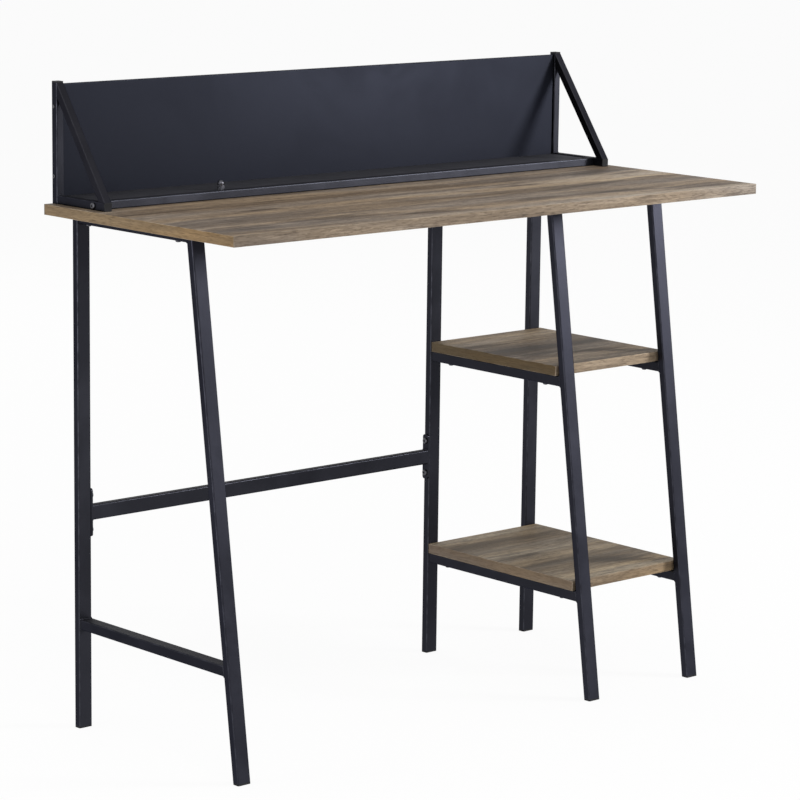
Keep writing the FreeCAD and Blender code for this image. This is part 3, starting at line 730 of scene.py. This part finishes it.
def make_plated(name, colour, roughness, stain=0.25):
    """Metal with fine scratches and faint stains."""
    material, tree, shader, place = new_material(name)
    coat = use_group(tree, coat_group, Vector=place, Peel_Scale=SCRATCH_SCALE, Smudge_Scale=120.0)
    share = calc(tree, "MULTIPLY", coat["Smudge"], stain)
    shade = blend_colour(tree, share, scaled(colour, 1.0), scaled(colour, STAINED_GAIN))
    feed(tree, shade, shader.inputs["Base Color"])
    shader.inputs["Metallic"].default_value = 1.0
    rough = calc(tree, "MULTIPLY_ADD", coat["Smudge"], STAIN_ROUGHNESS, roughness)
    feed(tree, rough, shader.inputs["Roughness"])
    add_bump(tree, shader, noise(tree, stretch(tree, place, SCRATCH_WAVES), 1.0, 2.0), SCRATCH_DEPTH)
    return material


print("stained zinc:", [round(value, 3) for value in scaled(ZINC_COLOUR, STAINED_GAIN)])

# %% All finishes
FRONT_LEG_LEAN = math.radians(8.02)
BRACE_LEAN = math.radians(35.2)

finishes = {
    "tube": make_coat("dark_tube_upright", TUBE_COLOUR),
    "rail": make_coat("dark_tube_front_rail_painted_light", RAIL_COLOUR_WITH_PAINTED_LIGHT, worn_and_highlight=0.5, dust_and_painted_top_tone=RAIL_DUST_AND_TOP_SHADE),
    "leg": make_coat("dark_tube_front_leg", LEG_COLOUR, lean=FRONT_LEG_LEAN),
    "brace": make_coat("dark_tube_brace", BRACE_COLOUR, lean=BRACE_LEAN, worn_and_highlight=0.3),
    "sheet": make_coat("dark_sheet", SHEET_COLOUR, roughness=0.52, peel=0.04, dust_and_painted_top_tone=SHEET_DUST_AND_TOP_LIGHT),
    "weld": make_coat("dark_weld", TUBE_COLOUR, roughness=0.36, peel=0.1),
    "plastic": make_plastic(),
    "fastener": make_plated("fastener_steel", FASTENER_COLOUR, 0.34),
    "zinc": make_plated("zinc", ZINC_COLOUR, 0.38),
    "bright": make_plated("bright_plate", BRIGHT_COLOUR, 0.2, stain=0.1),
}
print("finishes:", sorted(finishes))

# %% [markdown]
# ## Finishes on the CAD pieces
# Most of the pieces have their true shape already: tubes with round corners, plates, caps and fasteners.
# They keep their meshes, and only get a finish, picked by the words in their names.

# %% Dress the CAD pieces
FINISH_BY_WORD = (
    ("cap_nut", "bright"), ("front_rail_bolts", "fastener"), ("_plug", "zinc"), ("_nuts", "zinc"),
    ("_bolt", "fastener"), ("_screws", "fastener"), ("_cap", "plastic"), ("_brace", "brace"),
    ("hutch_front_rail", "rail"), ("front_leg", "leg"), ("back_panel", "sheet"), ("tray_floor", "sheet"),
)


def finish_for(node_name):
    """Finish of a CAD piece, plain tube coat where no word fits."""
    for word, finish in FINISH_BY_WORD:
        if word in node_name:
            return finish
    return "tube"


def dress(piece, material):
    """Give a piece one material."""
    if piece.material_slots:
        piece.material_slots[0].material = material
    else:
        piece.data.materials.append(material)


for node_name, node in sorted(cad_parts.items()):
    dress(node, finishes[finish_for(node_name)])
print("dressed:", len(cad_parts))

# %% [markdown]
# ## Boards with banded edges
# A pressed board is sawn, then a thin band is glued round its edges and its corners are scraped round.
# The core and the bands are separate blocks, and only the outer edges of a band are rounded, so the seam
# on top stays tight while the rim catches a line of light.

# %% Block helper
ROUND_STEPS = 3
SHARP_ANGLE = math.radians(35)
HAIR = 0.1 * MM


def add_piece(name, mesh, material):
    """Object for a finished mesh, riding on the desk's one body."""
    mesh.materials.append(material)
    piece = bpy.data.objects.new(name, mesh)
    bpy.context.scene.collection.objects.link(piece)
    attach(piece, "root")
    return piece


def mesh_from(name, work):
    """Mesh from a finished bmesh, smooth across its rounds and sharp elsewhere."""
    mesh = bpy.data.meshes.new(name)
    work.to_mesh(mesh)
    work.free()
    mesh.shade_smooth()
    mesh.set_sharp_from_angle(angle=SHARP_ANGLE)
    return mesh


def block(low, high):
    """Bmesh block between two corners."""
    work = bmesh.new()
    bmesh.ops.create_cube(work, size=1.0)
    size = high - low
    bmesh.ops.scale(work, vec=size, verts=work.verts)
    bmesh.ops.translate(work, vec=(low + high) / 2, verts=work.verts)
    return work


def round_face_rim(work, axis, value, radius):
    """Round the edges of the block's face that lies at a value on an axis, give or take a hair."""
    rim = [edge for edge in work.edges if all(abs(vert.co[axis] - value) < HAIR for vert in edge.verts)]
    bmesh.ops.bevel(work, geom=rim, offset=radius, segments=ROUND_STEPS, profile=0.5, affect="EDGES")


print("steps in a rounded edge:", ROUND_STEPS)

# %% Banded boards
BAND = 1.0 * MM
BAND_RADIUS = 0.9 * MM


def make_board(node_name):
    """Board core with four edge bands in place of a plain CAD board."""
    low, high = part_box(node_name)
    laminate, laminate_long, laminate_end = BOARD_FINISHES[node_name]
    inset = Vector((BAND, BAND, 0))
    core = add_piece(node_name + "_core", mesh_from(node_name + "_core", block(low + inset, high - inset)),
                     laminate)
    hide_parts(node_name)
    bands = (
        ("front_band", low, Vector((high.x, low.y + BAND, high.z)), 1, low.y, laminate_long),
        ("rear_band", Vector((low.x, high.y - BAND, low.z)), high, 1, high.y, laminate_long),
        ("left_band", low + Vector((0, BAND, 0)), Vector((low.x + BAND, high.y - BAND, high.z)),
         0, low.x, laminate_end),
        ("right_band", Vector((high.x - BAND, low.y + BAND, low.z)), high - Vector((0, BAND, 0)),
         0, high.x, laminate_end),
    )
    for title, band_low, band_high, axis, value, material in bands:
        work = block(band_low, band_high)
        round_face_rim(work, axis, value, BAND_RADIUS)
        name = node_name + "_" + title
        add_piece(name, mesh_from(name, work), material)
    return core


for board in BOARD_FINISHES:
    core = make_board(board)
    print(board, "core size in mm:", [round(size / MM, 1) for size in core.dimensions])

# %% [markdown]
# ## Folded sheets
# The back panel and the tray floor are folded from thin sheet, and a fold always has a radius. Each is a
# box with one side open: its outer edges are rounded, and a Solidify modifier then gives it the sheet's
# thickness inwards.

# %% Fold helper
FOLD_RADIUS = 1.6 * MM
PANEL_SHEET = 1.0 * MM
TRAY_SHEET = 1.5 * MM


def plain_mesh(helper, name):
    """Mesh of a helper object with its modifiers applied. The helper is removed."""
    evaluated = helper.evaluated_get(bpy.context.evaluated_depsgraph_get())
    mesh = bpy.data.meshes.new_from_object(evaluated)
    mesh.name = name
    mesh.materials.clear()
    bpy.data.objects.remove(helper)
    return mesh


def make_folded(node_name, open_axis, open_high, sheet, sharp_below=False):
    """Folded sheet in place of a CAD sheet, open on the high or low side of an axis."""
    low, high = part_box(node_name)
    work = block(low, high)
    open_value = (high if open_high else low)[open_axis]
    openings = [face for face in work.faces
                if abs(face.calc_center_median()[open_axis] - open_value) < HAIR]
    bmesh.ops.delete(work, geom=openings, context="FACES_ONLY")
    lowest_fold = low.z + HAIR if sharp_below else low.z - HAIR
    folds = [edge for edge in work.edges
             if len(edge.link_faces) == 2 and max(vert.co.z for vert in edge.verts) > lowest_fold]
    bmesh.ops.bevel(work, geom=folds, offset=FOLD_RADIUS, segments=ROUND_STEPS + 1, profile=0.5,
                    affect="EDGES")
    name = node_name + "_sheet"
    shell = bpy.data.objects.new(name + "_shell", mesh_from(name + "_shell", work))
    bpy.context.scene.collection.objects.link(shell)
    thickness = shell.modifiers.new("sheet", "SOLIDIFY")
    thickness.thickness = sheet
    thickness.offset = -1.0
    thickness.use_even_offset = True
    piece = add_piece(name, plain_mesh(shell, name), finishes["sheet"])
    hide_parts(node_name)
    return piece


print("fold radius in mm:", round(FOLD_RADIUS / MM, 2))

# %% Panel and tray
panel = make_folded("back_panel", open_axis=1, open_high=True, sheet=PANEL_SHEET, sharp_below=True)
tray = make_folded("tray_floor", open_axis=2, open_high=False, sheet=TRAY_SHEET)
for sheet_piece in (panel, tray):
    print(sheet_piece.name, "faces:", len(sheet_piece.data.polygons))

# %% [markdown]
# ## Weld beads
# Every rail is welded to its legs, and the powder coat covers the beads. A bead is a row of overlapping
# ripples along the joint, which is just what Geometry Nodes do well: they walk along a path, put a ball of
# random size at each step, and join them.

# %% Bead node tree
BEAD_RADIUS = 1.15 * MM
BEAD_STEP = 1.3 * MM
BEAD_SCALES = (0.82, 1.12)
BEAD_SEED = 11


def build_bead_tree(material):
    """Geometry node tree that lays weld ripples along the input edges."""
    tree = bpy.data.node_groups.new("weld_beads", "GeometryNodeTree")
    tree.interface.new_socket("Geometry", in_out="INPUT", socket_type="NodeSocketGeometry")
    radius = tree.interface.new_socket("Radius", in_out="INPUT", socket_type="NodeSocketFloat")
    step = tree.interface.new_socket("Step", in_out="INPUT", socket_type="NodeSocketFloat")
    tree.interface.new_socket("Geometry", in_out="OUTPUT", socket_type="NodeSocketGeometry")
    start = tree.nodes.new("NodeGroupInput")
    end = tree.nodes.new("NodeGroupOutput")
    to_curve = tree.nodes.new("GeometryNodeMeshToCurve")
    resample = tree.nodes.new("GeometryNodeResampleCurve")
    resample.mode = "LENGTH"
    ball = tree.nodes.new("GeometryNodeMeshIcoSphere")
    ball.inputs["Subdivisions"].default_value = 2
    place = tree.nodes.new("GeometryNodeInstanceOnPoints")
    size = tree.nodes.new("FunctionNodeRandomValue")
    size.inputs[2].default_value, size.inputs[3].default_value = BEAD_SCALES
    size.inputs["Seed"].default_value = BEAD_SEED
    smooth = tree.nodes.new("GeometryNodeSetShadeSmooth")
    realize = tree.nodes.new("GeometryNodeRealizeInstances")
    paint = tree.nodes.new("GeometryNodeSetMaterial")
    paint.inputs["Material"].default_value = material
    links = (
        (start.outputs["Geometry"], to_curve.inputs[0]),
        (to_curve.outputs[0], resample.inputs["Curve"]),
        (start.outputs["Step"], resample.inputs["Length"]),
        (resample.outputs[0], place.inputs["Points"]),
        (start.outputs["Radius"], ball.inputs["Radius"]),
        (ball.outputs["Mesh"], smooth.inputs["Geometry"]),
        (smooth.outputs[0], place.inputs["Instance"]),
        (size.outputs[1], place.inputs["Scale"]),
        (place.outputs[0], realize.inputs[0]),
        (realize.outputs[0], paint.inputs["Geometry"]),
        (paint.outputs[0], end.inputs[0]),
    )
    for source, target in links:
        tree.links.new(source, target)
    return tree, {"Radius": radius.identifier, "Step": step.identifier}


bead_tree, bead_sockets = build_bead_tree(finishes["weld"])
print("bead tree nodes:", len(bead_tree.nodes))

# %% Lay beads along paths


def lay_beads(name, paths):
    """Weld beads along polylines, as one plain mesh."""
    points = []
    edges = []
    for path in paths:
        first = len(points)
        points.extend(path)
        edges.extend((index, index + 1) for index in range(first, first + len(path) - 1))
    mesh = bpy.data.meshes.new(name + "_paths")
    mesh.from_pydata(points, edges, [])
    helper = bpy.data.objects.new(name + "_paths", mesh)
    bpy.context.scene.collection.objects.link(helper)
    modifier = helper.modifiers.new("beads", "NODES")
    modifier.node_group = bead_tree
    modifier[bead_sockets["Radius"]] = BEAD_RADIUS
    modifier[bead_sockets["Step"]] = BEAD_STEP
    return add_piece(name, plain_mesh(helper, name), finishes["weld"])


print("ripples in 10 mm of bead:", round(10 * MM / BEAD_STEP))

# %% [markdown]
# A rail's bead runs down one side, along the underside and up the other side, against both of its legs.
# The front leg leans, so the bead's points follow its rear face. The crossbar is free on top as well, so
# its bead goes all the way round.

# %% Beads of the leg frames
FRAME_RAILS = {
    "left": ("left_top_rail", "left_crossbar"),
    "middle": ("middle_top_rail", "middle_upper_shelf_rail", "middle_lower_shelf_rail"),
    "right": ("right_top_rail", "right_upper_shelf_rail", "right_lower_shelf_rail"),
}
FREE_RAIL = "left_crossbar"
BEAD_SINK = 0.35 * MM


def leg_back_at(frame_name):
    """Function from height to the Y of a front leg's rear face."""
    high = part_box(frame_name + "_front_leg")[1]
    rail_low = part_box(frame_name + "_top_rail")[0]
    slope = (high.y - rail_low.y) / (high.z - rail_low.z)
    return lambda height: high.y + slope * (height - high.z)


def rail_bead_paths(frame_name, rail_name, closed):
    """Bead paths round both ends of a rail."""
    low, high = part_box(rail_name)
    back = leg_back_at(frame_name)
    corners = [(low.x, high.z), (low.x, low.z), (high.x, low.z), (high.x, high.z)]
    if closed:
        corners.append(corners[0])
    front = [(x, back(z) + BEAD_SINK, z) for x, z in corners]
    rear = [(x, high.y - BEAD_SINK, z) for x, z in corners]
    return [front, rear]


for frame_name, rails in FRAME_RAILS.items():
    paths = []
    for rail_name in rails:
        paths += rail_bead_paths(frame_name, rail_name, closed=rail_name == FREE_RAIL)
    beads = lay_beads(frame_name + "_frame_welds", paths)
    print(beads.name, "triangles:", len(beads.data.polygons))

# %% Beads of the stretcher and the hutch


def cross_line(low_x, high_x, y, z):
    """Straight bead path along X."""
    return [(low_x, y, z), (high_x, y, z)]


def stretcher_paths():
    """Beads above and below the stretcher's tube at both end plates."""
    low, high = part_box("stretcher_tube")
    paths = []
    for x in (low.x + BEAD_SINK, high.x - BEAD_SINK):
        for z in (low.z, high.z):
            paths.append([(x, low.y + BEAD_RADIUS, z), (x, high.y - BEAD_RADIUS, z)])
    return paths


def hutch_paths(side_name):
    """Beads at the brace's foot and head, and at the base rail's end."""
    prefix = "hutch_" + side_name
    brace_low, brace_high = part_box(prefix + "_brace")
    rail_low, rail_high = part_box(prefix + "_base_rail")
    slope = (brace_high.y - brace_low.y) / (brace_high.z - brace_low.z)
    depth = (rail_high.x - rail_low.x) * math.hypot(1, slope)
    foot_back = brace_low.y + depth
    head_low = brace_high.z - depth / slope
    inner_low = rail_low.x + BEAD_RADIUS
    inner_high = rail_high.x - BEAD_RADIUS
    return [
        cross_line(inner_low, inner_high, foot_back, rail_high.z),
        cross_line(inner_low, inner_high, brace_high.y, head_low),
        cross_line(inner_low, inner_high, rail_high.y, rail_high.z),
    ]


lay_beads("stretcher_welds", stretcher_paths())
for side_name in ("left", "right"):
    beads = lay_beads("hutch_" + side_name + "_welds", hutch_paths(side_name))
    print(beads.name, "triangles:", len(beads.data.polygons))

# %% [markdown]
# ## Floor and light
# The desk stands on a plain pale floor under a white sky. The light is soft and even, with a large lamp
# above the front and a strong one at the front right, whose reflection lies on the leaning legs. A low lamp
# on the left and a weak one behind keep the sides and the back readable. Camera and mirror rays see plain
# white, so the backdrop stays white without more light on the object.

# %% Floor
WHITE = (1.0, 1.0, 1.0, 1.0)
FLOOR_SIZE = 30.0
FLOOR_COLOUR = (0.86, 0.86, 0.86, 1.0)
FLOOR_ROUGHNESS = 0.9
FLOOR_SPECULAR = 0.1
FLOOR_WHITE_SHARE = 0.92


def white_to_eye(tree):
    """Value that is 1 for camera, mirror and transmission rays."""
    path = tree.nodes.new("ShaderNodeLightPath").outputs
    seen = calc(tree, "MAXIMUM", path["Is Camera Ray"], path["Is Glossy Ray"])
    return calc(tree, "MAXIMUM", seen, path["Is Transmission Ray"])


def make_floor():
    """Wide pale floor that keeps the desk's shadow."""
    work = bmesh.new()
    bmesh.ops.create_grid(work, x_segments=1, y_segments=1, size=FLOOR_SIZE / 2)
    mesh = bpy.data.meshes.new("floor")
    work.to_mesh(mesh)
    work.free()
    floor = bpy.data.objects.new("floor", mesh)
    bpy.context.scene.collection.objects.link(floor)
    material, tree, shader = new_material("pale_floor")[:3]
    shader.inputs["Base Color"].default_value = FLOOR_COLOUR
    shader.inputs["Roughness"].default_value = FLOOR_ROUGHNESS
    shader.inputs["Specular IOR Level"].default_value = FLOOR_SPECULAR
    glow = tree.nodes.new("ShaderNodeEmission")
    glow.inputs["Color"].default_value = WHITE
    mixed = tree.nodes.new("ShaderNodeMixShader")
    feed(tree, calc(tree, "MULTIPLY", white_to_eye(tree), FLOOR_WHITE_SHARE), mixed.inputs[0])
    feed(tree, shader.outputs[0], mixed.inputs[1])
    feed(tree, glow.outputs[0], mixed.inputs[2])
    feed(tree, mixed.outputs[0], tree.nodes["Material Output"].inputs["Surface"])
    mesh.materials.append(material)
    return floor


floor = make_floor()
print("floor size in metres:", FLOOR_SIZE)

# %% Sky and lamps
BACKDROP_WHITE = (0.975, 0.975, 0.975, 1.0)
SKY_STRENGTH = 0.62
# Each lamp: name, place, point it aims at, size in metres, power in watts.
LAMPS = (
    ("front_top_lamp", (-1.6, -2.6, 3.0), (0.0, 0.0, 0.6), 2.4, 30.0),
    ("right_lamp", (3.4, -3.05, 1.78), (0.2, 0.0, 0.5), 1.05, 168.0),
    ("left_lamp", (-2.3, 0.3, 0.5), (-0.4, 0.0, 0.3), 1.0, 13.0),
    ("rear_lamp", (1.2, 4.2, 2.4), (0.0, 0.2, 0.6), 2.0, 25.0),
)


def make_sky():
    """World that lights softly and shows plain white."""
    world = bpy.data.worlds.new("studio")
    world.use_nodes = True
    tree = world.node_tree
    soft = tree.nodes["Background"]
    soft.inputs["Strength"].default_value = SKY_STRENGTH
    soft.inputs["Color"].default_value = WHITE
    white = tree.nodes.new("ShaderNodeBackground")
    white.inputs["Color"].default_value = BACKDROP_WHITE
    white.inputs["Strength"].default_value = 1.0
    mixed = tree.nodes.new("ShaderNodeMixShader")
    feed(tree, white_to_eye(tree), mixed.inputs[0])
    feed(tree, soft.outputs[0], mixed.inputs[1])
    feed(tree, white.outputs[0], mixed.inputs[2])
    feed(tree, mixed.outputs[0], tree.nodes["World Output"].inputs["Surface"])
    bpy.context.scene.world = world


def add_lamp(name, place, aim, size, power):
    """Square area lamp aimed at a point."""
    lamp = bpy.data.lights.new(name, "AREA")
    lamp.size = size
    lamp.energy = power
    holder = bpy.data.objects.new(name, lamp)
    holder.location = place
    holder.rotation_euler = (Vector(aim) - Vector(place)).to_track_quat("-Z", "Y").to_euler()
    bpy.context.scene.collection.objects.link(holder)


make_sky()
for lamp_values in LAMPS:
    add_lamp(*lamp_values)
bpy.context.scene.view_settings.view_transform = "Standard"
print("lamps:", [values[0] for values in LAMPS])
